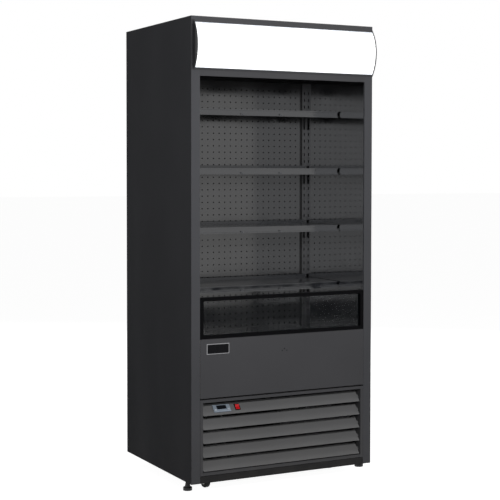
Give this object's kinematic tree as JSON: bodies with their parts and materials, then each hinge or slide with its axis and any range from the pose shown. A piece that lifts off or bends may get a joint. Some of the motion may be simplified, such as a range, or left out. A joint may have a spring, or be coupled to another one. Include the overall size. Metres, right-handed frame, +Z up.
{
  "type": "open multideck display fridge",
  "caption": "Upright open-fronted refrigerated display cabinet with lift-off shelves, lit canopy, low glass guard, louvred base, casters and levelling feet.",
  "frame": {"origin": "on the floor under the centre of the overall box", "axes": "+Z up; the open front faces -Y; +X is to the right of someone who looks into the front"},
  "size_m": [0.915, 0.7714, 2.064],
  "materials": {
    "grey_paint": "satin",
    "dark_paint": "satin",
    "liner_paint": "satin",
    "polished_steel": "polished",
    "foam": "matte",
    "upright_paint": "satin",
    "shelf_paint": "gloss",
    "rail_plastic": "satin",
    "black_plastic": "satin",
    "clear_glass": "gloss",
    "badge_metal": "satin",
    "fixing_steel": "satin",
    "controller_plastic": "satin",
    "display_lens": "gloss",
    "key_plastic": "satin",
    "red_plastic": "gloss",
    "white_diffuser": "satin",
    "cap_plastic": "satin",
    "lamp_glass": "gloss",
    "compressor_paint": "satin",
    "coil_aluminium": "satin",
    "shroud_steel": "satin",
    "fan_plastic": "satin",
    "tray_plastic": "matte",
    "zinc_steel": "satin",
    "foot_plastic": "satin",
    "wheel_rubber": "matte"
  },
  "bodies": {
    "cabinet": {"air_discharge_grille": "black_plastic", "badge_plate": "badge_metal", "base_tray": "dark_paint", "caster_plates": "zinc_steel", "ceiling_liner": "liner_paint", "compressor": "compressor_paint", "condensate_tray": "tray_plastic", "condenser_coil": "coil_aluminium", "condenser_fan_shroud": "shroud_steel", "controller_display": "display_lens", "controller_housing": "controller_plastic", "deck_pan": "liner_paint", "electrical_box": "dark_paint", "evaporator_coil": "coil_aluminium", "evaporator_fan_shroud": "shroud_steel", "guard_frame": "black_plastic", "guard_glass": "clear_glass", "insulation_foam": "foam", "left_inner_liner": "polished_steel", "left_side_panel": "grey_paint", "louvre_frame": "grey_paint", "louvre_slats": "grey_paint", "lower_front_panel": "grey_paint", "panel_fixings": "fixing_steel", "perforated_back_panel": "liner_paint", "rear_and_floor_liner": "liner_paint", "rear_caster_forks": "zinc_steel", "rear_panel": "dark_paint", "return_air_grille": "liner_paint", "right_inner_liner": "polished_steel", "right_side_panel": "grey_paint", "roof_panel": "grey_paint", "shelf_brackets": "upright_paint", "sign_canopy": "grey_paint", "sign_diffuser": "white_diffuser", "sign_end_caps": "cap_plastic", "sign_lamps": "lamp_glass", "slotted_uprights": "upright_paint", "switch_bezel": "black_plastic"},
    "condenser_fan": {"condenser_fan": "fan_plastic"},
    "evaporator_fan": {"evaporator_fan": "fan_plastic"},
    "left_levelling_foot": {"left_levelling_foot": "foot_plastic"},
    "right_levelling_foot": {"right_levelling_foot": "foot_plastic"},
    "power_rocker": {"power_rocker": "red_plastic"},
    "controller_key_left": {"controller_key_left": "key_plastic"},
    "controller_key_right": {"controller_key_right": "key_plastic"},
    "front_left_caster_fork": {"front_left_caster_fork": "zinc_steel"},
    "front_right_caster_fork": {"front_right_caster_fork": "zinc_steel"},
    "front_left_caster_wheel": {"front_left_caster_wheel": "wheel_rubber"},
    "front_right_caster_wheel": {"front_right_caster_wheel": "wheel_rubber"},
    "rear_left_caster_wheel": {"rear_left_caster_wheel": "wheel_rubber"},
    "rear_right_caster_wheel": {"rear_right_caster_wheel": "wheel_rubber"},
    "shelf_1": {"shelf_tray_1": "shelf_paint", "ticket_rail_1": "rail_plastic"},
    "shelf_2": {"shelf_tray_2": "shelf_paint", "ticket_rail_2": "rail_plastic"},
    "shelf_3": {"shelf_tray_3": "shelf_paint", "ticket_rail_3": "rail_plastic"},
    "shelf_4": {"shelf_tray_4": "shelf_paint", "ticket_rail_4": "rail_plastic"}
  },
  "joints": [
    {"name": "shelf_1_lift", "type": "slide", "parent": "cabinet", "child": "shelf_1", "axis": [0, 0, 1], "range_m": [0, 0.04]},
    {"name": "shelf_2_lift", "type": "slide", "parent": "cabinet", "child": "shelf_2", "axis": [0, 0, 1], "range_m": [0, 0.04]},
    {"name": "shelf_3_lift", "type": "slide", "parent": "cabinet", "child": "shelf_3", "axis": [0, 0, 1], "range_m": [0, 0.04]},
    {"name": "shelf_4_lift", "type": "slide", "parent": "cabinet", "child": "shelf_4", "axis": [0, 0, 1], "range_m": [0, 0.04]},
    {"name": "front_left_swivel", "type": "hinge", "parent": "cabinet", "child": "front_left_caster_fork", "pos_m": [-0.3425, -0.20025, 0.0747], "axis": [0, 0, 1], "continuous": true},
    {"name": "front_right_swivel", "type": "hinge", "parent": "cabinet", "child": "front_right_caster_fork", "pos_m": [0.3425, -0.20025, 0.0747], "axis": [0, 0, 1], "continuous": true},
    {"name": "front_left_wheel_spin", "type": "hinge", "parent": "front_left_caster_fork", "child": "front_left_caster_wheel", "pos_m": [-0.33476, -0.2313, 0.025], "axis": [0.9703, 0.2419, 0], "continuous": true},
    {"name": "front_right_wheel_spin", "type": "hinge", "parent": "front_right_caster_fork", "child": "front_right_caster_wheel", "pos_m": [0.3425, -0.16825, 0.025], "axis": [1, 0, 0], "continuous": true},
    {"name": "rear_left_wheel_spin", "type": "hinge", "parent": "cabinet", "child": "rear_left_caster_wheel", "pos_m": [-0.3425, 0.26875, 0.025], "axis": [1, 0, 0], "continuous": true},
    {"name": "rear_right_wheel_spin", "type": "hinge", "parent": "cabinet", "child": "rear_right_caster_wheel", "pos_m": [0.3425, 0.26875, 0.025], "axis": [1, 0, 0], "continuous": true},
    {"name": "left_foot_screw", "type": "slide", "parent": "cabinet", "child": "left_levelling_foot", "axis": [0, 0, 1], "range_m": [0, 0.027]},
    {"name": "right_foot_screw", "type": "slide", "parent": "cabinet", "child": "right_levelling_foot", "axis": [0, 0, 1], "range_m": [-0.027, 0]},
    {"name": "power_rocker_tilt", "type": "hinge", "parent": "cabinet", "child": "power_rocker", "pos_m": [-0.225, -0.32503, 0.36494], "axis": [1, 0, 0], "range_deg": [-20, 0]},
    {"name": "controller_key_left_press", "type": "slide", "parent": "cabinet", "child": "controller_key_left", "axis": [0, 0.7154, -0.6987], "range_m": [0, 0.001], "stiffness_N_per_m": 400},
    {"name": "controller_key_right_press", "type": "slide", "parent": "cabinet", "child": "controller_key_right", "axis": [0, 0.7154, -0.6987], "range_m": [0, 0.001], "stiffness_N_per_m": 400},
    {"name": "condenser_fan_spin", "type": "hinge", "parent": "cabinet", "child": "condenser_fan", "pos_m": [0.205, -0.23125, 0.1965], "axis": [0, 1, 0], "continuous": true},
    {"name": "evaporator_fan_spin", "type": "hinge", "parent": "cabinet", "child": "evaporator_fan", "pos_m": [0, -0.01125, 0.5232], "axis": [0, 1, 0], "continuous": true}
  ]
}
